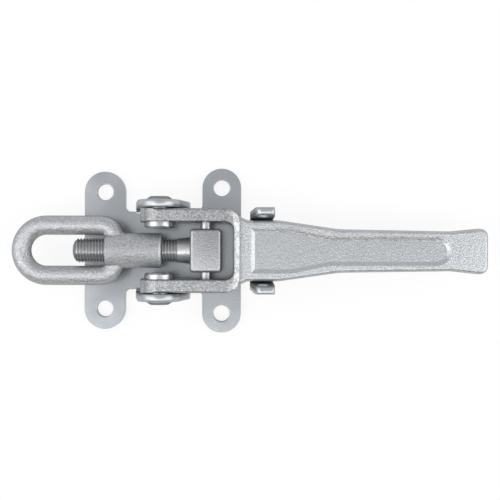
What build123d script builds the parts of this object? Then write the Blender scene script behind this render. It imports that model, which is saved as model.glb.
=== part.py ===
"""Adjustable over-centre latch, closed.

The origin is on the underside of the base plate, midway between its two rows of fixing holes
and straight below the lever's pivot. +X runs along the handle, +Z away from the mounting face.
"""

from build123d import *
from math import cos, radians, sin, tan
import os

os.makedirs("parts", exist_ok=True)

# Sheet metal of the base plate
sheet = 5.0
bend_radius = 3.0
punched_edge = 0.6

# Fixing holes: two rows, each with one hole on either side
row_spacing = 80.0
left_hole_pitch = 80.0
right_hole_pitch = 86.0
fixing_hole = 11.0
left_lobe_width = 28.0
right_lobe_width = 26.6

# Relief notches beside the pivot ears, measured from the centre line
left_relief = 26.7
right_relief = 28.2
left_relief_radius = 3.7
right_relief_radius = 3.0

# Pivot of the lever
pivot_height = 32.0
over_centre = 3.5
pivot_ear_foot = 37.0
pivot_ear_radius = 14.5
ear_gap = 0.4
pivot_ear_edge = 1.2

# Lock ears on the tongue, which lean outwards and guide the lever's neck
lock_ear_start = 59.5
lock_ear_width = 16.0
lock_ear_height = 50.0
lock_ear_lean = 7.0
lock_ear_shoulder = 30.0
lock_ear_cut = 3.9
lock_ear_waist = 24.0
lock_ear_flare = 1.2
lock_ear_left_corner = 4.0
lock_ear_right_corner = 2.0
lock_ear_edge = 1.0
lock_hole = 8.0
lock_hole_drop = 6.6
lock_hole_place = 68.0
tongue_root_radius = 4.0
seat_gap = 0.65

# Lever: the forging's parting plane lies at the height of the pivot
draft = 3.0
fork_width = 55.8
fork_depth = 25.0
yoke_end = 53.3
yoke_corner = 10.0
yoke_slope_start = 48.4
yoke_slope_drop = 2.6
yoke_slope_radius = 4.0
shoulder_inset = 0.5
window_end = 48.6
window_width = 36.5
window_corner = 5.5
arm_seat = 8.5
neck_width = 40.2
neck_start = 57.5
neck_start_radius = 5.0
neck_end = 78.0
neck_end_radius = 40.0
neck_top = 7.0
grip_start = 118.0
grip_start_radius = 60.0
grip_width = 28.6
grip_waist = 191.0
waist_width = 26.2
waist_radius = 25.0
handle_end = 214.7
end_width = 31.2
end_corner = 5.4
handle_edge = 2.2
fork_edge = 1.5
window_edge = 1.0

# Shallow panel sunk in the handle's top face
panel_start = 62.7
panel_wide_end = 86.0
panel_narrow_start = 112.0
panel_end = 187.6
panel_wide = 24.0
panel_narrow = 13.7
panel_depth = 1.0
panel_wall = 70.0

# Pivot rivets
rivet = 12.0
inner_head = 19.6
inner_head_height = 4.3
outer_head = 16.6
outer_head_height = 2.2
head_chamfer = 1.0
running = 0.06
side_gap = 0.3

# Tension bolt and its cross pin
pin_reach = 30.6
cross_pin_size = 8.0
pin_inset = 0.3
pin_chamfer = 0.5
block_length = 20.5
block_width = 28.6
block_height = 21.0
block_edge = 1.6
neck_flare = 8.3
flare_size = 18.0
thread = 16.0
bolt_reach = 88.0
bolt_end_radius = 4.5

# Loop nut
barrel = 23.0
barrel_length = 37.5
barrel_position = 28.8
barrel_edge = 1.8
seam_radius = 2.0
bore_mouth = 1.0
loop_bar = 12.7
loop_width = 45.8
loop_reach = 128.3
loop_corner = 11.0
loop_setback = 0.8

# Places that follow from the sizes above
left_row = -row_spacing / 2
right_row = row_spacing / 2
pivot_ear_inner = fork_width / 2 + ear_gap
pivot_ear_outer = pivot_ear_inner + sheet
lock_ear_inner = neck_width / 2 + seat_gap
lock_ear_end = lock_ear_start + lock_ear_width
tongue_end = lock_ear_end - lock_ear_flare
lock_hole_height = lock_ear_height - lock_hole_drop
plate_right_edge = right_row + right_lobe_width / 2
bolt_height = pivot_height - over_centre


def flat_end(inner, height, lean):
    """How far from the centre line the flat plate runs before a bent ear's bend starts."""
    foot = inner - (height - sheet) * tan(radians(lean))
    return foot - bend_radius * tan(radians(90 - lean) / 2)


def ear_section(inner, height, lean, top):
    """Section of one bent ear across the latch: flat foot, bend and wall up to its top.

    The wall's inner face passes the given height at the distance inner from the centre line.
    The foot starts one bend radius inside the flat plate, so that the two join.
    """
    slope = tan(radians(lean))
    across = sheet / cos(radians(lean))
    start = flat_end(inner, height, lean) - bend_radius

    def face(z):
        return inner + (z - height) * slope

    with BuildSketch() as section:
        with BuildLine():
            FilletPolyline((start, sheet), (face(sheet), sheet), (face(top), top), radius=bend_radius)
            Line((face(top), top), (face(top) + across, top))
            FilletPolyline(
                (face(top) + across, top),
                (face(0) + across, 0),
                (start, 0),
                radius=bend_radius + sheet,
            )
            Line((start, 0), (start, sheet))
        make_face()
    return section.sketch


# Rear pivot ear: a bent strip cut to a round-topped outline whose outer rim is rounded
pivot_ear_top = pivot_height + pivot_ear_radius
pivot_flat_end = flat_end(pivot_ear_inner, pivot_height, 0)
with BuildPart() as pivot_ear_outline:
    with BuildSketch(Plane.XZ):
        with Locations((0, (sheet + bend_radius) / 2)):
            Rectangle(pivot_ear_foot, sheet + bend_radius)
        with Locations((0, pivot_height)):
            Circle(pivot_ear_radius)
        make_hull()
    extrude(amount=-pivot_ear_outer)
    fillet(pivot_ear_outline.faces().sort_by(Axis.Y)[-1].edges(), radius=pivot_ear_edge)

with BuildPart() as pivot_ear:
    with BuildSketch(Plane.YZ.offset(-pivot_ear_foot / 2)):
        add(ear_section(pivot_ear_inner, pivot_height, 0, pivot_ear_top))
    extrude(amount=pivot_ear_foot)
    add(pivot_ear_outline.part, mode=Mode.INTERSECT)
    with Locations(Plane((0, pivot_ear_inner, pivot_height), z_dir=(0, 1, 0))):
        Hole(rivet / 2)

# Rear lock ear: the same kind of strip, leaning outwards
lock_flat_end = flat_end(lock_ear_inner, pivot_height, lock_ear_lean)
with BuildPart() as lock_ear:
    with BuildSketch(Plane.YZ.offset(lock_ear_start)):
        add(ear_section(lock_ear_inner, pivot_height, lock_ear_lean, lock_ear_height))
    extrude(amount=lock_ear_width)
    fillet(lock_ear.faces().sort_by(Axis.Z)[-1].edges().filter_by(Axis.X), radius=lock_ear_edge)
    with BuildSketch(Plane.XZ) as lock_ear_outline:
        with BuildLine():
            Polyline(
                (lock_ear_start, 0),
                (tongue_end, 0),
                (tongue_end, lock_ear_waist),
                (lock_ear_end, lock_ear_height - lock_hole_drop),
                (lock_ear_end, lock_ear_height),
                (lock_ear_start + lock_ear_cut, lock_ear_height),
                (lock_ear_start, lock_ear_shoulder),
                close=True,
            )
        make_face()
        left_corner = lock_ear_outline.vertices().group_by(Axis.Y)[-1].sort_by(Axis.X)[0]
        fillet(left_corner, radius=lock_ear_left_corner)
        right_corner = lock_ear_outline.vertices().group_by(Axis.Y)[-1].sort_by(Axis.X)[-1]
        fillet(right_corner, radius=lock_ear_right_corner)
    extrude(amount=2 * pivot_ear_outer, both=True, mode=Mode.INTERSECT)

# Base plate: flat blank with its fixing lobes and tongue, and the four ears bent up from it
with BuildPart() as base_plate:
    with BuildSketch() as blank:
        Rectangle(row_spacing, 2 * pivot_flat_end)
        for row, pitch, width in (
            (left_row, left_hole_pitch, left_lobe_width),
            (right_row, right_hole_pitch, right_lobe_width),
        ):
            with Locations((row, 0)):
                SlotCenterToCenter(pitch, width, rotation=90)
        for row, relief in ((left_row, left_relief), (right_row, right_relief)):
            ear_side = pivot_ear_foot / 2 if row > 0 else -pivot_ear_foot / 2
            with Locations(((row + ear_side) / 2, 0)):
                Rectangle(abs(row - ear_side), 2 * relief)
        with Locations(((right_row + tongue_end) / 2, 0)):
            Rectangle(tongue_end - right_row, 2 * lock_flat_end)
    extrude(amount=sheet)
    for side, radius in ((-1, left_relief_radius), (1, right_relief_radius)):
        lobe_width = left_lobe_width if side < 0 else right_lobe_width
        lobe_side = side * (row_spacing - lobe_width) / 2
        corners = base_plate.edges().filter_by(Axis.Z).filter_by(
            lambda e, x=lobe_side: abs(e.center().X - x) < 0.01 and abs(e.center().Y) < left_hole_pitch / 2
        )
        fillet(corners, radius=radius)
    tongue_roots = base_plate.edges().filter_by(Axis.Z).filter_by(
        lambda e: abs(e.center().X - plate_right_edge) < 0.01 and abs(e.center().Y) < lock_flat_end + 0.01
    )
    fillet(tongue_roots, radius=tongue_root_radius)
    add(pivot_ear.part)
    add(mirror(pivot_ear.part, about=Plane.XZ, mode=Mode.PRIVATE))
    add(lock_ear.part)
    add(mirror(lock_ear.part, about=Plane.XZ, mode=Mode.PRIVATE))
    for row, pitch in ((left_row, left_hole_pitch), (right_row, right_hole_pitch)):
        with Locations((row, pitch / 2, sheet), (row, -pitch / 2, sheet)):
            Hole(fixing_hole / 2, depth=sheet)
    hole_edges = base_plate.edges().filter_by(GeomType.CIRCLE).filter_by(
        lambda e: abs(e.center().Z - sheet) < 0.01 and abs(e.radius - fixing_hole / 2) < 0.01
    )
    fillet(hole_edges, radius=punched_edge)
    with Locations(Plane((lock_hole_place, 0, lock_hole_height), z_dir=(0, 1, 0))):
        Cylinder(lock_hole / 2, 4 * pivot_ear_outer, mode=Mode.SUBTRACT)
base_plate.part.label = "base_plate"
export_step(base_plate.part, "parts/base_plate.step")


# Pivot rivets: wide head inside the fork, shank through arm and ear, end closed over the ear
rivet_seat = fork_width / 2 - arm_seat
head_face = rivet_seat - side_gap
closed_end = pivot_ear_outer + outer_head_height
with BuildPart() as rear_pivot_rivet:
    with BuildSketch(Plane((0, 0, pivot_height), x_dir=(0, 1, 0), z_dir=(1, 0, 0))):
        with BuildLine():
            Polyline(
                (head_face - inner_head_height, 0),
                (head_face - inner_head_height, inner_head / 2 - head_chamfer),
                (head_face - inner_head_height + head_chamfer, inner_head / 2),
                (head_face, inner_head / 2),
                (head_face, rivet / 2),
                (pivot_ear_outer, rivet / 2),
                (pivot_ear_outer, outer_head / 2),
                (pivot_ear_outer + outer_head_height / 3, outer_head / 2),
                (closed_end, outer_head / 2 - outer_head_height),
                (closed_end, 0),
                close=True,
            )
        make_face()
    revolve(axis=Axis((0, 0, pivot_height), (0, 1, 0)))
rear_pivot_rivet.part.label = "rear_pivot_rivet"
export_step(rear_pivot_rivet.part, "parts/rear_pivot_rivet.step")

with BuildPart() as front_pivot_rivet:
    mirror(rear_pivot_rivet.part, about=Plane.XZ)
front_pivot_rivet.part.label = "front_pivot_rivet"
export_step(front_pivot_rivet.part, "parts/front_pivot_rivet.step")

# Lever: yoke and handle drafted up and down from one parting plane
parting = Plane.XY.offset(pivot_height)


def both_sides(points):
    """Closed outline through the given points and their mirror images across the centre line."""
    return points + [(x, -y) for x, y in reversed(points)]


with BuildPart() as yoke:
    with BuildSketch(parting) as yoke_plan:
        with Locations(((yoke_end - fork_depth) / 2, 0)):
            Rectangle(yoke_end + fork_depth, fork_width)
        fillet(yoke_plan.vertices().group_by(Axis.X)[-1], radius=yoke_corner)
    extrude(amount=fork_depth / 2, taper=draft)
    mirror(about=parting)
    fillet(yoke.faces().filter_by(Plane.XY).edges(), radius=fork_edge)
    with BuildSketch(Plane.XZ) as yoke_side:
        with Locations((0, pivot_height)):
            Circle(fork_depth / 2)
        with BuildLine():
            Polyline(
                (0, pivot_height + fork_depth / 2),
                (yoke_slope_start, pivot_height + fork_depth / 2),
                (yoke_end, pivot_height + fork_depth / 2 - yoke_slope_drop),
                (yoke_end, pivot_height - fork_depth / 2 + yoke_slope_drop),
                (yoke_slope_start, pivot_height - fork_depth / 2),
                (0, pivot_height - fork_depth / 2),
                close=True,
            )
        make_face()
        slopes = yoke_side.vertices().filter_by(lambda v: abs(v.X - yoke_slope_start) < 0.01)
        fillet(slopes, radius=yoke_slope_radius)
    extrude(amount=fork_width, both=True, mode=Mode.INTERSECT)

with BuildPart() as handle:
    with BuildSketch(parting) as handle_plan:
        with BuildLine():
            Polyline(
                *both_sides(
                    [
                        (yoke_end - yoke_corner, fork_width / 2 - shoulder_inset),
                        (neck_start, neck_width / 2),
                        (neck_end, neck_width / 2),
                        (grip_start, grip_width / 2),
                        (grip_waist, waist_width / 2),
                        (handle_end, end_width / 2),
                    ]
                ),
                close=True,
            )
        make_face()
        for x, radius in (
            (neck_start, neck_start_radius),
            (neck_end, neck_end_radius),
            (grip_start, grip_start_radius),
            (grip_waist, waist_radius),
            (handle_end, end_corner),
        ):
            turns = handle_plan.vertices().filter_by(lambda v, x=x: abs(v.X - x) < 0.01)
            fillet(turns, radius=radius)
    extrude(amount=neck_top, taper=draft)
    mirror(about=parting)
    edges = handle.faces().filter_by(Plane.XY).edges()
    fillet(edges.filter_by(lambda e: e.center().X > yoke_end - yoke_corner + 0.01), radius=handle_edge)

window_flare = fork_depth / 2 * tan(radians(draft))
with BuildPart() as lever:
    add(yoke.part)
    add(handle.part)
    with BuildSketch(parting, mode=Mode.PRIVATE) as window:
        with Locations(((window_end - 2 * fork_depth) / 2, 0)):
            Rectangle(window_end + 2 * fork_depth, window_width)
        fillet(window.vertices().sort_by(Axis.X)[-2:], radius=window_corner)
    extrude(window.sketch, amount=fork_depth, taper=-draft, mode=Mode.SUBTRACT)
    extrude(window.sketch, amount=-fork_depth, taper=-draft, mode=Mode.SUBTRACT)
    rims = lever.edges().filter_by(lambda e: abs(e.center().Z - pivot_height) > fork_depth / 2 - 0.01)
    rims = rims.filter_by(
        lambda e: 0.01 < e.center().X < window_end + window_flare + 0.01
        and abs(e.center().Y) < window_width / 2 + window_flare + 0.01
    )
    fillet(rims, radius=window_edge)
    with BuildSketch(parting.offset(neck_top - panel_depth), mode=Mode.PRIVATE) as panel:
        with BuildLine():
            Polyline(
                *both_sides(
                    [
                        (panel_end - panel_narrow / 2, panel_narrow / 2),
                        (panel_narrow_start, panel_narrow / 2),
                        (panel_wide_end, panel_wide / 2),
                        (panel_start, panel_wide / 2),
                    ]
                ),
            )
            RadiusArc(
                (panel_end - panel_narrow / 2, -panel_narrow / 2),
                (panel_end - panel_narrow / 2, panel_narrow / 2),
                -panel_narrow / 2,
            )
        make_face()
    extrude(panel.sketch, amount=panel_depth, taper=-panel_wall, mode=Mode.SUBTRACT)
    pivot_plane = Plane((0, 0, pivot_height), z_dir=(0, 1, 0))
    with Locations(pivot_plane):
        Cylinder(inner_head / 2 + head_chamfer, 2 * rivet_seat, mode=Mode.SUBTRACT)
        Cylinder(rivet / 2 + running, 2 * fork_width, mode=Mode.SUBTRACT)
    with Locations(Plane((pin_reach, 0, bolt_height), z_dir=(0, 1, 0))):
        Cylinder(cross_pin_size / 2, 2 * fork_width, mode=Mode.SUBTRACT)
lever.part.label = "lever"
export_step(lever.part, "parts/lever.step")

# Cross pin, pressed into both arms with its ends just below their faces
arm_face = fork_width / 2 - over_centre * tan(radians(draft))
with BuildPart() as cross_pin:
    with Locations(Plane((pin_reach, 0, bolt_height), z_dir=(0, 1, 0))):
        Cylinder(cross_pin_size / 2, 2 * (arm_face - pin_inset))
    chamfer(cross_pin.edges().filter_by(GeomType.CIRCLE), length=pin_chamfer)
cross_pin.part.label = "cross_pin"
export_step(cross_pin.part, "parts/cross_pin.step")

# Tension bolt: square block, flared neck and shank
bolt_end = pin_reach - bolt_reach
block_face = pin_reach - block_length / 2
with BuildPart() as neck:
    with BuildSketch(Plane.XZ):
        with BuildLine():
            Polyline(
                (block_face, bolt_height + flare_size / 2),
                (block_face, bolt_height),
                (block_face - neck_flare, bolt_height),
                (block_face - neck_flare, bolt_height + thread / 2),
            )
            TangentArc(
                (block_face - neck_flare, bolt_height + thread / 2),
                (block_face, bolt_height + flare_size / 2),
                tangent=(1, 0),
            )
        make_face()
    revolve(axis=Axis((0, 0, bolt_height), (1, 0, 0)))
    with BuildSketch(Plane.YZ.offset(block_face - neck_flare)):
        with Locations((0, bolt_height)):
            RectangleRounded(block_width - 2 * block_edge, block_height - 2 * block_edge, block_edge)
    extrude(amount=neck_flare, mode=Mode.INTERSECT)

with BuildPart() as tension_bolt:
    with Locations((pin_reach, 0, bolt_height)):
        Box(block_length, block_width, block_height)
    fillet(tension_bolt.edges(), radius=block_edge)
    add(neck.part)
    with Locations(Plane((bolt_end, 0, bolt_height), z_dir=(1, 0, 0))):
        Cylinder(thread / 2, bolt_reach - block_length / 2, align=(Align.CENTER, Align.CENTER, Align.MIN))
    fillet(tension_bolt.edges().sort_by(Axis.X)[0], radius=bolt_end_radius)
    with Locations(Plane((pin_reach, 0, bolt_height), z_dir=(0, 1, 0))):
        Cylinder(cross_pin_size / 2 + running, 2 * block_width, mode=Mode.SUBTRACT)
tension_bolt.part.label = "tension_bolt"
export_step(tension_bolt.part, "parts/tension_bolt.step")

# Loop nut: oval loop of round bar forged onto a threaded barrel
barrel_right = pin_reach - barrel_position
barrel_left = barrel_right - barrel_length
bar_side = (loop_width - loop_bar) / 2
bar_left = pin_reach - loop_reach + loop_width / 2
bar_turn = barrel_left + loop_setback + loop_bar / 2 - loop_corner
with BuildPart() as barrel_blank:
    with Locations(Plane((barrel_left, 0, bolt_height), z_dir=(1, 0, 0))):
        Cylinder(barrel / 2, barrel_length, align=(Align.CENTER, Align.CENTER, Align.MIN))
    fillet(barrel_blank.edges().filter_by(GeomType.CIRCLE), radius=barrel_edge)

with BuildPart() as loop_nut:
    with BuildLine(Plane.XY.offset(bolt_height)) as loop_path:
        Line((bar_turn + loop_corner, 0), (bar_turn + loop_corner, bar_side - loop_corner))
        CenterArc((bar_turn, bar_side - loop_corner), loop_corner, 0, 90)
        Line((bar_turn, bar_side), (bar_left, bar_side))
        CenterArc((bar_left, 0), bar_side, 90, 180)
        Line((bar_left, -bar_side), (bar_turn, -bar_side))
        CenterArc((bar_turn, loop_corner - bar_side), loop_corner, 270, 90)
        Line((bar_turn + loop_corner, loop_corner - bar_side), (bar_turn + loop_corner, 0))
    with BuildSketch(Plane((bar_turn + loop_corner, 0, bolt_height), z_dir=(0, 1, 0))):
        Circle(loop_bar / 2)
    sweep()
    add(barrel_blank.part)
    seams = loop_nut.edges().filter_by(GeomType.BSPLINE).filter_by(
        lambda e: barrel_left + 1 < e.center().X < barrel_left + 2 * loop_bar
    )
    fillet(seams, radius=seam_radius)
    with Locations(Plane((barrel_left - bore_mouth, 0, bolt_height), z_dir=(1, 0, 0))):
        Cylinder(
            thread / 2 + running,
            barrel_length + 2 * bore_mouth,
            align=(Align.CENTER, Align.CENTER, Align.MIN),
            mode=Mode.SUBTRACT,
        )
    for place, direction in ((barrel_left, 1), (barrel_right, -1)):
        with Locations(Plane((place, 0, bolt_height), z_dir=(direction, 0, 0))):
            Cone(
                thread / 2 + running + bore_mouth,
                thread / 2 + running,
                bore_mouth,
                align=(Align.CENTER, Align.CENTER, Align.MIN),
                mode=Mode.SUBTRACT,
            )
loop_nut.part.label = "loop_nut"
export_step(loop_nut.part, "parts/loop_nut.step")
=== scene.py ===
# %% [markdown]
# An over-centre latch in bright zinc plate
#
# This lesson dresses a CAD model of a drop-side latch. The CAD model gives every piece its size
# and place, so the work here is light, metal and the one shape that CAD leaves plain, the thread
# of the bolt. The latch lies closed on its base plate: +X runs along the handle, +Z points at the
# camera, and all lengths are metres.

# %% Load the frame
import bpy
from math import pi, radians, sqrt, tan
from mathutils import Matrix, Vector


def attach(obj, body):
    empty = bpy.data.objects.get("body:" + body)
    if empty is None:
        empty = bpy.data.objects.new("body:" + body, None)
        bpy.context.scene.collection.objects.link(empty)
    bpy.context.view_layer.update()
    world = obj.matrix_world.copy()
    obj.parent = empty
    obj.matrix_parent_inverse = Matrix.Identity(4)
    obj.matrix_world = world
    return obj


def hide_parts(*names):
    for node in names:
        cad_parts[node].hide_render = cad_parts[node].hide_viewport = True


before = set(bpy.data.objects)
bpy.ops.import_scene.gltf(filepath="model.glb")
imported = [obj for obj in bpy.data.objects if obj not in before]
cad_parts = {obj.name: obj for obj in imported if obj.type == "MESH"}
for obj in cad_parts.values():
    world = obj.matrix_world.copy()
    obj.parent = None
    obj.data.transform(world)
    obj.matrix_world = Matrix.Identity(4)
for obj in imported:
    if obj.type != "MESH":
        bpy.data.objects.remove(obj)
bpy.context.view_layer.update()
print("pieces from CAD:", sorted(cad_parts))

# %% [markdown]
# The camera
#
# The picture was taken from straight above with a fairly long lens: the raised parts look only
# a little larger than the plate under them. A camera could be aimed with a constraint, but one
# made with no turn already looks straight down with +Y up the picture. The latch lies a fraction
# of a degree askew in the picture, and turning the camera shows that without moving a piece.

# %% Camera
camera_place = (0.0595, 0.0005, 0.623)
askew = radians(0.17)

bpy.ops.object.select_all(action="DESELECT")
bpy.ops.object.camera_add(location=camera_place, rotation=(0, 0, askew))
camera = bpy.context.object
camera.name = "camera_above"
camera.data.sensor_width = 36
camera.data.lens = 64.8
bpy.context.scene.camera = camera
print("camera height", round(camera.location.z, 3), "lens", round(camera.data.lens, 1))

# %% [markdown]
# Writing materials as sums
#
# A material can be wired up node by node, but a formula is easier to read than boxes and cables.
# This small class holds one output socket. Arithmetic on it adds Math nodes, and `node` adds any
# other kind: its settings first, then the values or cables of its sockets.

# %% The class for material formulas
class Wire:
    """One output socket of a material, which can be used in a formula."""

    def __init__(self, tree, socket=None):
        self.tree = tree
        self.socket = socket

    def node(self, kind, settings, sockets, output=0):
        """Adds a node and gives the wire of one of its outputs."""
        made = self.tree.nodes.new(kind)
        for name, value in settings.items():
            setattr(made, name, value)
        for name, value in sockets.items():
            if isinstance(value, Wire):
                self.tree.links.new(value.socket, made.inputs[name])
            else:
                made.inputs[name].default_value = value
        return Wire(self.tree, made.outputs[output])

    def math(self, operation, first, second=0.0):
        """Adds a Math node. An operation on one value ignores the second."""
        return self.node("ShaderNodeMath", {"operation": operation}, {0: first, 1: second})

    def __add__(self, other):
        return self.math("ADD", self, other)

    __radd__ = __add__

    def __sub__(self, other):
        return self.math("SUBTRACT", self, other)

    def __rsub__(self, other):
        return self.math("SUBTRACT", other, self)

    def __mul__(self, other):
        return self.math("MULTIPLY", self, other)

    __rmul__ = __mul__

    def __abs__(self):
        return self.math("ABSOLUTE", self)

    def into(self, shader, name):
        """Plugs this wire into a socket of the shader."""
        self.tree.links.new(self.socket, shader.inputs[name])


print("materials can be written as formulas")

# %% [markdown]
# The studio
#
# Bright metal shows the room around it, so the room is laid out by what each face should mirror.
# A picture of a room would light the latch too, but a few lamps say plainly what is mirrored
# where. A wide soft light hangs overhead, a little towards the front, and draws the long highlight
# on every bar. A light beyond each end brightens the edges that lean along the latch. One dark
# card leans in above the front edge of the table, and makes the darker band below each highlight.

# %% Helpers for the studio
def plain_surface(name, colour):
    """A matt material of one colour, for things that aren't part of the latch."""
    material = bpy.data.materials.new(name)
    material.use_nodes = True
    shader = material.node_tree.nodes["Principled BSDF"]
    shader.inputs["Base Color"].default_value = (*colour, 1)
    shader.inputs["Roughness"].default_value = 0.8
    return material


def add_card(name, size, place, lean, material, shown=True):
    """A flat card of the studio, which isn't part of the latch. It leans by so many degrees."""
    bpy.ops.object.select_all(action="DESELECT")
    bpy.ops.mesh.primitive_plane_add(size=1, location=place, rotation=(radians(lean), 0, 0))
    card = bpy.context.object
    card.name = name
    card.scale = (size[0], size[1], 1)
    card.data.materials.append(material)
    card.visible_camera = shown


def add_lamp(name, size, place, aim, brightness):
    """A rectangular soft lamp. With a brightness of 1 it looks as bright as a lit white card."""
    bpy.ops.object.select_all(action="DESELECT")
    toward = Vector(aim) - Vector(place)
    turn = toward.to_track_quat("-Z", "Y").to_euler()
    bpy.ops.object.light_add(type="AREA", location=place, rotation=turn)
    lamp = bpy.context.object
    lamp.name = name
    lamp.data.shape = "RECTANGLE"
    lamp.data.size = size[0]
    lamp.data.size_y = size[1]
    lamp.data.energy = brightness * pi * size[0] * size[1]
    print(name, "power", round(lamp.data.energy, 2), "W")


print("helpers for the studio ready")

# %% [markdown]
# A white floor
#
# The floor has to be white without flooding the metal with light. Stronger lamps would whiten it
# and burn out the metal, so its material mixes two looks. Plain matt white catches the shadow, and
# a white glow is seen only by what looks straight at the floor: the camera, and rays mirrored or
# bent by the latch.

# %% The floor's material
def glowing_white(name, glow_share):
    """Matt white for the shadow, mixed with a glow that only a direct look sees."""
    material = plain_surface(name, (0.9, 0.9, 0.9))
    tree = material.node_tree
    straight = Wire(tree).node("ShaderNodeLightPath", {}, {}, "Is Camera Ray")
    rays = straight.socket.node.outputs
    looks = straight + Wire(tree, rays["Is Glossy Ray"]) + Wire(tree, rays["Is Transmission Ray"])
    matt = Wire(tree, tree.nodes["Principled BSDF"].outputs[0])
    glow = looks.node("ShaderNodeEmission", {}, {"Color": (1, 1, 1, 1), "Strength": 1.0})
    mixed = looks.node("ShaderNodeMixShader", {}, {0: glow_share * looks, 1: matt, 2: glow})
    tree.links.new(mixed.socket, tree.nodes["Material Output"].inputs["Surface"])
    return material


white_floor = glowing_white("white_floor", glow_share=0.86)
dark_card = plain_surface("dark_card", (0.30, 0.285, 0.25))
print("floor and card have their colours")

# %% Floor, card and lamps
floor_size = (12, 12)
front_size = (2.2, 0.98)
front_place = (0.06, -0.78, 0.54)
add_card("floor", floor_size, (0, 0, -0.0002), lean=0, material=white_floor)
add_card("front_card", front_size, front_place, lean=70, material=dark_card, shown=False)
add_lamp("overhead_lamp", size=(1.8, 0.46), place=(0.06, -0.405, 1.1), aim=(0.06, 0, 0), brightness=1.8)
add_lamp("left_lamp", size=(0.8, 0.82), place=(-0.58, -0.03, 0.64), aim=(-0.02, 0, 0.02), brightness=1.45)
add_lamp("right_lamp", size=(0.8, 0.8), place=(0.90, -0.03, 0.64), aim=(0.12, 0, 0.02), brightness=1.6)

world = bpy.data.worlds.new("studio")
world.use_nodes = True
background = world.node_tree.nodes["Background"]
background.inputs["Color"].default_value = (0.965, 0.985, 1.0, 1)
background.inputs["Strength"].default_value = 0.70
bpy.context.scene.world = world
bpy.context.scene.view_settings.view_transform = "Standard"
print("floor and studio ready")

# %% [markdown]
# What all the metals share
#
# Every piece is plated with zinc. The plating is one metal, and the pieces differ in the skin
# under it: forged, rolled or turned. A photograph of zinc could be wrapped round each piece, but
# it would need seams and would carry its own light. So the helpers here make a plated metal from
# formulas on the object's own coordinates, one each for its colour, roughness and height. A low
# specular tint keeps the steepest edges from flaring white, as they do on polished chrome and
# don't on zinc.

# %% Helpers for metal
def start_metal(name, metallic, tint=0.35):
    """A new plated metal: its material, its shader and a wire with the object's coordinates."""
    material = bpy.data.materials.new(name)
    material.use_nodes = True
    tree = material.node_tree
    shader = tree.nodes["Principled BSDF"]
    shader.inputs["Metallic"].default_value = metallic
    shader.inputs["Specular Tint"].default_value = (tint, tint, tint, 1)
    place = Wire(tree).node("ShaderNodeTexCoord", {}, {}, "Object")
    return material, shader, place


def finish_metal(shader, colour, roughness, normal):
    """Plugs a metal's colour, roughness and bump into its shader."""
    colour.into(shader, "Base Color")
    roughness.into(shader, "Roughness")
    normal.into(shader, "Normal")


def axis(place, letter):
    """One coordinate of a place: its X, Y or Z."""
    return place.node("ShaderNodeSeparateXYZ", {}, {"Vector": place}, letter)


def vector(wire, operation, other=(0, 0, 0), output="Vector"):
    """Vector maths on a wire that carries coordinates."""
    return wire.node("ShaderNodeVectorMath", {"operation": operation}, {0: wire, 1: other}, output)


print("helpers for metal ready")

# %% Helpers for patterns
def noise(place, scale, detail=2, roughness=0.5):
    """Cloudy noise from 0 to 1, with about scale lumps in a metre."""
    sockets = {"Vector": place, "Scale": scale, "Detail": detail, "Roughness": roughness}
    return place.node("ShaderNodeTexNoise", {}, sockets, "Fac")


def ramp(wire, low, high, start=0.0, end=1.0):
    """Takes the stretch from low to high to the stretch from start to end, smoothly and clamped."""
    sockets = {"Value": wire, "From Min": low, "From Max": high, "To Min": start, "To Max": end}
    settings = {"interpolation_type": "SMOOTHSTEP", "clamp": True}
    return wire.node("ShaderNodeMapRange", settings, sockets)


def blend(factor, first, second):
    """Blends two colours. The Mix node keeps its colour sockets at 6 and 7 and the result at 2."""
    first, second = [shade if isinstance(shade, Wire) else (*shade, 1) for shade in (first, second)]
    return factor.node("ShaderNodeMix", {"data_type": "RGBA"}, {0: factor, 6: first, 7: second}, 2)


def bump(height, depth, under=None):
    """Bump of the given height times depth, in metres, on top of another bump if one is given."""
    sockets = {"Height": height, "Distance": depth}
    if under:
        sockets["Normal"] = under
    return height.node("ShaderNodeBump", {}, sockets)


print("helpers for patterns ready")

# %% [markdown]
# Zinc on a forging
#
# The lever and the loop nut are hot forgings. Scale and shot leave their skin covered with fine
# grains about a millimetre across, which glitter through the zinc, over broader lumps that make
# the grey drift. The two halves of the die met at mid height, where the trimmed flash leaves a
# darker and rougher line. The dark band there reaches 2.6 mm either side, so on the round bars
# it is also painted shade on their steep sides. Grains could be sculpted, but they are too
# shallow to show at the outline and would take millions of faces, so noise gives them as colour,
# roughness and bump.

# %% Material of the forgings
zinc_tint = (0.97, 0.99, 1.02)
seam_and_shade_grey = (0.16, 0.155, 0.145)
seam_core = 0.0006
seam_edge = 0.0026
even_specks = 0.6


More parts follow.
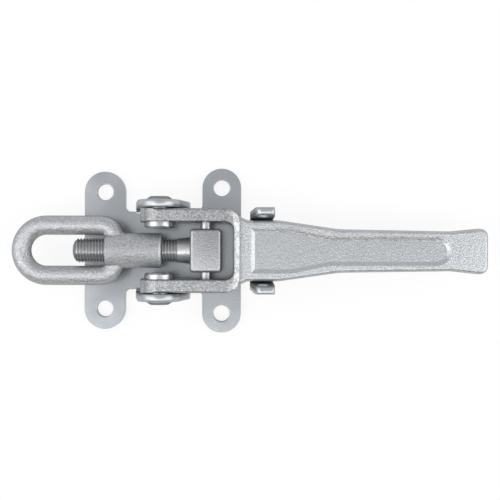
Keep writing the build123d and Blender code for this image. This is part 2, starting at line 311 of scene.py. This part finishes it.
def forged_zinc(name, seam_height, dull, bright, depth, tinges, smooth_below=-1.0, matt_above=1.0):
    """Zinc over a forged skin of dull and bright grains.

    Each tinge is a formula of place and specks, with the colour that it brings. Up to the height
    smooth_below the grains are half as strong, and from matt_above the skin is more matt. Both
    heights lie far outside the latch unless they are given.
    """
    material, shader, place = start_metal(name, metallic=0.7)
    height = axis(place, "Z")
    coarse = ramp(height, smooth_below, smooth_below + 0.0007, 0.5, 1.0)
    lumps = ramp(noise(place, 60), 0.30, 0.70)
    grain = coarse * noise(place, 720, 3, 0.65)
    specks = ramp(noise(place, 950, 2, 0.6), 0.42, 0.62)
    specks = even_specks + coarse * (specks - even_specks)
    seam_and_shade = ramp(abs(height - seam_height), seam_core, seam_edge, 1.0, 0.0)
    matt = ramp(height, matt_above, matt_above + 0.002)
    low, high, top = [[grey * part for part in zinc_tint] for grey in (dull, 1.1 * dull, bright)]
    colour = blend(specks, blend(lumps, low, high), top)
    for tinge, shade in tinges:
        colour = blend(tinge(place, specks), colour, shade)
    # The dark band is the flash line and, on the steep sides of the round bars, painted shade.
    colour = blend(seam_and_shade * 0.8, colour, seam_and_shade_grey)
    rough = 0.16 + 0.08 * grain + 0.2 * seam_and_shade + 0.12 * matt
    finish_metal(shader, colour, rough, bump(grain + 0.2 * specks, depth))
    print(name, "ready")
    return material


# %% [markdown]
# Dull places, painted shade and painted highlights on a forging
#
# A forging isn't alike all over. The fork's arms are duller here. The top of the barrel is
# darkened as painted shade, which dims its highlight, and two edges are lightened as a painted
# highlight: the slope round the fork's closed end and the rim of the barrel. Such places could be
# painted on an unwrapped mesh. Heights and distances find them with no painting, and the specks
# let the bright grains show through.

# %% Dull places and painted shade
handle_top = 0.039
barrel_top = 0.040


def dull_arms(place, specks):
    """The fork's arms, which rise above the handle, are dull mostly between the bright grains."""
    above_handle = ramp(axis(place, "Z"), handle_top + 0.0005, handle_top + 0.0015, 0.0, 0.45)
    return above_handle * (1.0 - 0.5 * specks)


def painted_shade_on_crest(place, specks):
    """Painted shade on the top of the barrel, which evenly darkens it and dims its highlight."""
    return ramp(axis(place, "Z"), barrel_top - 0.0015, barrel_top - 0.0002, 0.0, 0.22)


# The barrel's darker top is painted shade that dims its highlight.
print("dull from", handle_top + 0.0005, "on the lever and from", barrel_top - 0.0015, "on the barrel")

# %% Places with a painted highlight
barrel_end = 0.0018
barrel_edge = 0.0018
rim_start = barrel_end - barrel_edge
yoke_end = 0.0533
yoke_corner = 0.010
fork_side = 0.0279
slope_start = 0.0052
arm_end = 0.044


def painted_highlight_on_end(place, specks):
    """The rounded rim of the barrel's end, where the bolt comes out, lightened as a painted highlight."""
    x = axis(place, "X")
    past_start = ramp(x, rim_start, rim_start + 0.0004)
    return past_start * ramp(x, barrel_end - 0.0006, barrel_end - 0.0002, 1.0, 0.0)


def painted_highlight_on_shoulder(place, specks):
    """The sloping rim across the fork's closed end and round its corners: a painted highlight.

    The slope starts at one distance from the centres of the two round corners and from the line
    between them. The metre taken off the height keeps height out of that distance.
    """
    corner = (yoke_end - yoke_corner, fork_side - yoke_corner, 1)
    past_corner = vector(vector(vector(place, "ABSOLUTE"), "SUBTRACT", corner), "MAXIMUM")
    distance = vector(past_corner, "LENGTH", output="Value")
    x = axis(place, "X")
    on_rim = ramp(distance, slope_start, slope_start + 0.001) * ramp(x, arm_end, arm_end + 0.0025)
    on_rim = on_rim * ramp(x, yoke_end - 0.0007, yoke_end - 0.0002, 1.0, 0.0)
    on_rim = on_rim * ramp(axis(place, "Z"), handle_top + 0.001, handle_top + 0.002)
    patches = ramp(noise(place, 280), 0.38, 0.60)
    return on_rim * (0.15 + 0.45 * patches + 0.4 * specks)


# Both rims are lightened as a painted highlight.
print("rubbed rims at", barrel_end, "and up to", yoke_end)

# %% The two forgings
# The dark grey dulls the fork's arms and is painted shade on the barrel's top.
dull_and_shade_grey = (0.05, 0.05, 0.05)
# The pale grey is a painted highlight on the fork's slope and the barrel's rim.
painted_highlight_grey = (0.62, 0.62, 0.63)
pivot_height = 0.032
bolt_height = 0.0285
panel_floor = 0.038

lever_zinc = forged_zinc(
    "zinc_on_lever",
    seam_height=pivot_height,
    dull=0.425,
    bright=0.555,
    depth=0.00028,
    tinges=((dull_arms, dull_and_shade_grey), (painted_highlight_on_shoulder, painted_highlight_grey)),
    smooth_below=panel_floor + 0.0002,
)
loop_zinc = forged_zinc(
    "zinc_on_loop",
    seam_height=bolt_height,
    dull=0.37,
    bright=0.565,
    depth=0.00046,
    tinges=((painted_shade_on_crest, dull_and_shade_grey), (painted_highlight_on_end, painted_highlight_grey)),
    matt_above=0.0345,
)

# %% [markdown]
# Zinc on sheet
#
# The rolled sheet is smooth and slightly cloudy. Its punched edges are rolled over, which shows
# on the tops of the four ears as a bright line beside a dark one. The edges could be rounded in
# the mesh, but that mesh is the CAD model's and stays as it is. A bump that falls away from the
# middle of the sheet's thickness turns the light there instead, and changes nothing on the flat
# faces.

# %% Material of the sheet
pivot_ear_middle = 0.0308
lock_ear_middle = 0.0255
lock_ear_top = 0.050
lock_ear_slope = tan(radians(7))
between_ears = 0.050
ears_from = 0.010
roll = 95
sheet_dark = (0.415, 0.435, 0.455)
sheet_pale = (0.45, 0.47, 0.49)

sheet_zinc, shader, place = start_metal("zinc_on_sheet", metallic=0.85, tint=0.7)
x, y, z = [axis(place, letter) for letter in "XYZ"]
cloud = ramp(noise(place, 40), 0.30, 0.70)
speckle = noise(place, 1300)
colour = blend(cloud, sheet_dark, sheet_pale)
on_lock_ear = ramp(x, between_ears, between_ears + 0.001)
inwards = pivot_ear_middle - lock_ear_middle + lock_ear_slope * (lock_ear_top - z)
off_middle = abs(y) - (pivot_ear_middle - on_lock_ear * inwards)
on_ear = ramp(z, ears_from, ears_from + 0.002)
rolled = on_ear * off_middle * off_middle * -roll
rough = 0.15 + 0.05 * speckle + 0.04 * cloud + 0.12 * on_ear
finish_metal(shader, colour, rough, bump(speckle, 0.00002, bump(rolled, 1.0)))
print("sheet finish ready")

# %% [markdown]
# Zinc on turned steel
#
# The rivets and the pin were turned, so they are the brightest pieces. Only the outer ends of the
# rivets were hammered over, which leaves them darker and rougher. The ends could have a material
# of their own, but nothing turned is seen outside the ears, so one material can tell the two
# skins apart by their distance from the middle of the latch.

# %% Material of the turned pieces
ear_face = 0.0333
turned_dark = (0.48, 0.495, 0.51)
turned_pale = (0.56, 0.57, 0.58)
hammered_grey = (0.27, 0.28, 0.29)

turned_zinc, shader, place = start_metal("zinc_on_turned_steel", metallic=0.92)
cloud = ramp(noise(place, 120), 0.30, 0.70)
speckle = noise(place, 1500)
hammered = ramp(abs(axis(place, "Y")), ear_face - 0.0002, ear_face + 0.0001)
colour = blend(hammered, blend(cloud, turned_dark, turned_pale), hammered_grey)
rough = 0.22 + 0.08 * speckle + 0.12 * hammered
finish_metal(shader, colour, rough, bump(speckle, 0.00008, bump(speckle * hammered, 0.0003)))
print("finish of the turned pieces ready")

# %% [markdown]
# The bolt
#
# The CAD bolt is smooth, and the real one has a 16 mm thread of 2 mm pitch from its rounded end
# up to the neck, where it runs out into a flare and a square block for the cross pin. A thread
# could be faked with bump, but its teeth show at the outline here. It could also be wound by
# moving points in code, but the Screw modifier does it as a lathe would: one tooth's profile,
# turned and moved on by one pitch a turn.

# %% Helpers for modelling
def edit(select_kind="VERT"):
    """Enters edit mode with nothing selected."""
    bpy.ops.object.mode_set(mode="EDIT")
    bpy.ops.mesh.select_mode(type=select_kind)
    bpy.ops.mesh.select_all(action="DESELECT")


def pick(piece, elements, test):
    """Selects the vertices, edges or faces whose middle passes the test, and nothing else."""
    bpy.ops.mesh.select_all(action="DESELECT")
    bpy.ops.object.mode_set(mode="OBJECT")
    mesh = piece.data
    for element in getattr(mesh, elements):
        if elements == "vertices":
            middle = element.co
        else:
            corners = [mesh.vertices[i].co for i in element.vertices]
            middle = sum(corners, Vector()) / len(corners)
        element.select = test(middle)
    bpy.ops.object.mode_set(mode="EDIT")


def apply_modifier(piece, kind, **settings):
    """Adds a modifier with the given settings and applies it."""
    modifier = piece.modifiers.new(kind.lower(), kind)
    for name, value in settings.items():
        setattr(modifier, name, value)
    bpy.context.view_layer.objects.active = piece
    bpy.ops.object.modifier_apply(modifier=modifier.name)


def join_shapes(piece, tool, operation):
    """Joins, cuts or keeps what two closed shapes share, and deletes the tool."""
    apply_modifier(piece, "BOOLEAN", operation=operation, object=tool, solver="EXACT")
    bpy.data.objects.remove(tool, do_unlink=True)


print("helpers for modelling ready")

# %% Bars and what is printed
def add_bar(radius, start, end):
    """A closed round bar along X, from start to end."""
    bpy.ops.object.select_all(action="DESELECT")
    bpy.ops.mesh.primitive_cylinder_add(
        vertices=64,
        radius=radius,
        depth=end - start,
        location=((start + end) / 2, 0, 0),
        rotation=(0, radians(90), 0),
    )
    bpy.ops.object.transform_apply(location=True, rotation=True, scale=True)
    return bpy.context.object


def count(piece):
    """How many faces a piece has."""
    return len(piece.data.polygons)


def open_edges(piece):
    """How many edges don't lie between exactly two faces: none in a closed piece."""
    used = {}
    for face in piece.data.polygons:
        for key in face.edge_keys:
            used[key] = used.get(key, 0) + 1
    return sum(1 for times in used.values() if times != 2)


print("helpers for bars and prints ready")

# %% [markdown]
# One tooth
#
# A thread's tooth is a narrow crest, two straight flanks and a flat root. It could be typed in as
# a list of points, but a few edits of a plane's edge say how it comes about. The edge is one
# pitch long and is cut in four. Its middle point goes down to the root, its quarter points move
# out until the crest is an eighth of the pitch wide, and the root point is bevelled flat.

# %% One tooth
pitch = 0.002
crest = 0.008
root = 0.0066
bolt_end = -0.0570
thread_start = bolt_end - 2 * pitch
spread = 1.75
root_flat = 0.15 * pitch

bpy.ops.object.select_all(action="DESELECT")
bpy.ops.mesh.primitive_plane_add(size=pitch, location=(thread_start, 0, 0))
bolt = bpy.context.object
bolt.name = "threaded_bolt"
edit()
pick(bolt, "vertices", lambda v: v.y < 0)
bpy.ops.mesh.delete(type="VERT")
bpy.ops.mesh.select_all(action="SELECT")
bpy.ops.transform.translate(value=(0, crest - pitch / 2, 0))
bpy.ops.mesh.subdivide(number_cuts=3)
pick(bolt, "vertices", lambda v: 0.1 * pitch < abs(v.x) < 0.4 * pitch)
bpy.ops.transform.resize(value=(spread, 1, 1), center_override=(thread_start, 0, 0))
pick(bolt, "vertices", lambda v: abs(v.x) < 0.1 * pitch)
bpy.ops.transform.translate(value=(0, root - crest, 0))
bpy.ops.mesh.bevel(offset=root_flat, segments=1, affect="VERTICES")
bpy.ops.object.mode_set(mode="OBJECT")
print("tooth profile", [(round(v.co.x * 1000, 2), round(v.co.y * 1000, 2)) for v in bolt.data.vertices])

# %% [markdown]
# The windings
#
# The tooth is wound up along X past both ends of the real thread. The modifier leaves a seam
# where one turn meets the next and an open hole at each end. So the doubled points are merged and
# the ends are filled, which makes a closed shape that can be cut and joined.

# %% The windings
turns = 39

apply_modifier(bolt, "SCREW", axis="X", steps=40, render_steps=40, iterations=turns, screw_offset=pitch)
edit()
bpy.ops.mesh.select_all(action="SELECT")
bpy.ops.mesh.remove_doubles(threshold=0.00001)
bpy.ops.mesh.select_all(action="DESELECT")
bpy.ops.mesh.select_non_manifold()
bpy.ops.mesh.fill_holes(sides=0)
bpy.ops.mesh.select_all(action="SELECT")
bpy.ops.mesh.normals_make_consistent(inside=False)
bpy.ops.object.mode_set(mode="OBJECT")
bpy.ops.object.transform_apply(location=True, rotation=True, scale=True)
print("windings", count(bolt), "faces, open edges", open_edges(bolt))

# %% [markdown]
# The rounded end
#
# The real bolt's end is rounded, and its first turns fade into the rounding as the lathe leaves
# them. Scaling the end's points would squash the teeth there. A bar with a rounded end, a little
# thicker than the thread, cuts them instead. What it shares with the windings is kept, from the
# bolt's end to where the flare of the neck will hide the thread.

# %% The rounded end
former_radius = 0.0086
former_length = 0.071
rounding = 0.0060

former = add_bar(former_radius, bolt_end, bolt_end + former_length)
edit("EDGE")
pick(former, "edges", lambda v: v.x < bolt_end + 0.0001)
bpy.ops.mesh.bevel(offset=rounding, segments=10, profile=0.5)
bpy.ops.object.mode_set(mode="OBJECT")
join_shapes(bolt, former, "INTERSECT")
print("thread", count(bolt), "faces, from", round(min(v.co.x for v in bolt.data.vertices) * 1000, 2), "mm")

# %% [markdown]
# The neck
#
# The neck starts inside the thread, grows out of it over about a turn, which is where the thread
# runs out, and flares into the block. It could be a lathed profile, as the thread is, but a bar's
# end face that is extruded and widened step by step along the arc of the flare is quicker.

# %% The neck
core_radius = 0.0064
core_start = 0.0082
core_end = 0.0102
flare_from = 0.01205
flare_to = 0.02035
flare_radius = 0.009
flare_steps = 6
flare_rise = flare_radius - crest
flare_arc = ((flare_to - flare_from) ** 2 + flare_rise ** 2) / (2 * flare_rise)
under_crest = 0.0003
into_block = 0.002

sections = [(flare_from - under_crest, crest - under_crest)]
for step in range(flare_steps + 1):
    along = (flare_to - flare_from) * step / flare_steps
    sections.append((flare_from + along, crest + flare_arc - sqrt(flare_arc ** 2 - along ** 2)))
sections.append((flare_to + into_block, flare_radius))

neck = add_bar(core_radius, core_start, core_end)
edit("FACE")
pick(neck, "polygons", lambda v: v.x > core_end - 0.0001)
at, radius = core_end, core_radius
for reach, wide in sections:
    bpy.ops.mesh.extrude_region_move(TRANSFORM_OT_translate={"value": (reach - at, 0, 0)})
    bpy.ops.transform.resize(value=(1, wide / radius, wide / radius), center_override=(reach, 0, 0))
    at, radius = reach, wide
bpy.ops.object.mode_set(mode="OBJECT")
print("neck", count(neck), "faces, widest", round(radius * 2000, 1), "mm")

# %% [markdown]
# The block
#
# The block is forged square with soft edges and drilled across for the cross pin. Its edges could
# be bevelled by a modifier, but all twelve are alike, so one bevel in edit mode does. The hole is
# cut with a cylinder that leaves the pin its running clearance, and then the block, the neck and
# the thread are joined into the one piece that the real bolt is.

# %% The block with its pin hole
pin_x = 0.0306
block_size = (0.0205, 0.0286, 0.021)
block_edge = 0.0021
pin_hole_radius = 0.00406
drill_length = 0.04

bpy.ops.object.select_all(action="DESELECT")
bpy.ops.mesh.primitive_cube_add(size=1, location=(pin_x, 0, 0))
block = bpy.context.object
block.scale = block_size
bpy.ops.object.transform_apply(location=True, rotation=True, scale=True)
edit("EDGE")
bpy.ops.mesh.select_all(action="SELECT")
bpy.ops.mesh.bevel(offset=block_edge, segments=6, profile=0.5)
bpy.ops.object.mode_set(mode="OBJECT")
bpy.ops.mesh.primitive_cylinder_add(
    vertices=64,
    radius=pin_hole_radius,
    depth=drill_length,
    location=(pin_x, 0, 0),
    rotation=(radians(90), 0, 0),
)
join_shapes(block, bpy.context.object, "DIFFERENCE")
join_shapes(block, neck, "UNION")
join_shapes(bolt, block, "UNION")
print("block and thread joined:", count(bolt), "faces")

# %% [markdown]
# Zinc on the bolt
#
# The bolt has two skins: a forged block, and a rolled thread whose roots stay darker because less
# light and less plating reach them. Two materials would meet in a hard line, so one material
# tells the skins apart by place and fades from one to the other along the flare.

# %% Material of the bolt
thread_end = 0.012
block_start = 0.0205
thread_grey = (0.48, 0.49, 0.50)
block_grey = (0.345, 0.355, 0.365)
speck_grey = (0.41, 0.415, 0.425)
root_grey = (0.27, 0.275, 0.285)

bolt_zinc, shader, place = start_metal("zinc_on_bolt", metallic=0.8)
x, y, z = [axis(place, letter) for letter in "XYZ"]
across = place.node("ShaderNodeCombineXYZ", {}, {"Y": y, "Z": z - bolt_height})
from_axis = vector(across, "LENGTH", output="Value")
on_thread = ramp(x, thread_end - 0.001, thread_end + 0.0005, 1.0, 0.0)
in_root = ramp(from_axis, root + 0.0002, crest - 0.0004, 1.0, 0.0) * on_thread
on_block = ramp(x, thread_end + 0.001, block_start)
forged = ramp(x, thread_end, thread_end + 0.002)
grain = noise(place, 850, 3, 0.65)
specks = ramp(noise(place, 1150, 2, 0.6), 0.40, 0.64) * on_block
colour = blend(on_block, thread_grey, block_grey)
colour = blend(specks, colour, speck_grey)
colour = blend(in_root * 0.6, colour, root_grey)
rough = 0.20 + 0.10 * grain
finish_metal(shader, colour, rough, bump(grain, 0.00003, bump(grain * forged, 0.00016)))
print("finish of the bolt ready")

# %% [markdown]
# The bolt takes its place
#
# The bolt was modelled on the X axis and now goes to its height. It could be lifted as an object,
# but then the patterns on it would shift, so its place goes into the mesh. Its normals are made
# to agree, faces that meet at less than forty degrees are shaded as one smooth surface, and it
# takes the CAD bolt's place on the body that swings in the fork.

# %% The bolt takes its place
bpy.ops.object.select_all(action="DESELECT")
bolt.select_set(True)
bpy.context.view_layer.objects.active = bolt
bolt.location = (0, 0, bolt_height)
bpy.ops.object.transform_apply(location=True, rotation=True, scale=True)
edit()
bpy.ops.mesh.select_all(action="SELECT")
bpy.ops.mesh.remove_doubles(threshold=0.000002)
bpy.ops.mesh.normals_make_consistent(inside=False)
bpy.ops.object.mode_set(mode="OBJECT")
bpy.ops.object.shade_smooth_by_angle(angle=radians(40))
bolt.data.materials.append(bolt_zinc)
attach(bolt, "bolt")
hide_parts("tension_bolt")
print("bolt", count(bolt), "faces, open edges", open_edges(bolt))

# %% [markdown]
# Dressing the CAD pieces
#
# The other pieces already have their true shape. They could be copied and refined here, but then
# they might no longer fit each other, so each keeps its mesh and only takes its metal.

# %% Metals of the CAD pieces
metals = {
    "base_plate": sheet_zinc,
    "lever": lever_zinc,
    "loop_nut": loop_zinc,
    "cross_pin": turned_zinc,
    "rear_pivot_rivet": turned_zinc,
    "front_pivot_rivet": turned_zinc,
}
for name, metal in metals.items():
    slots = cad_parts[name].data.materials
    slots.clear()
    slots.append(metal)
    print(name, "wears", metal.name)
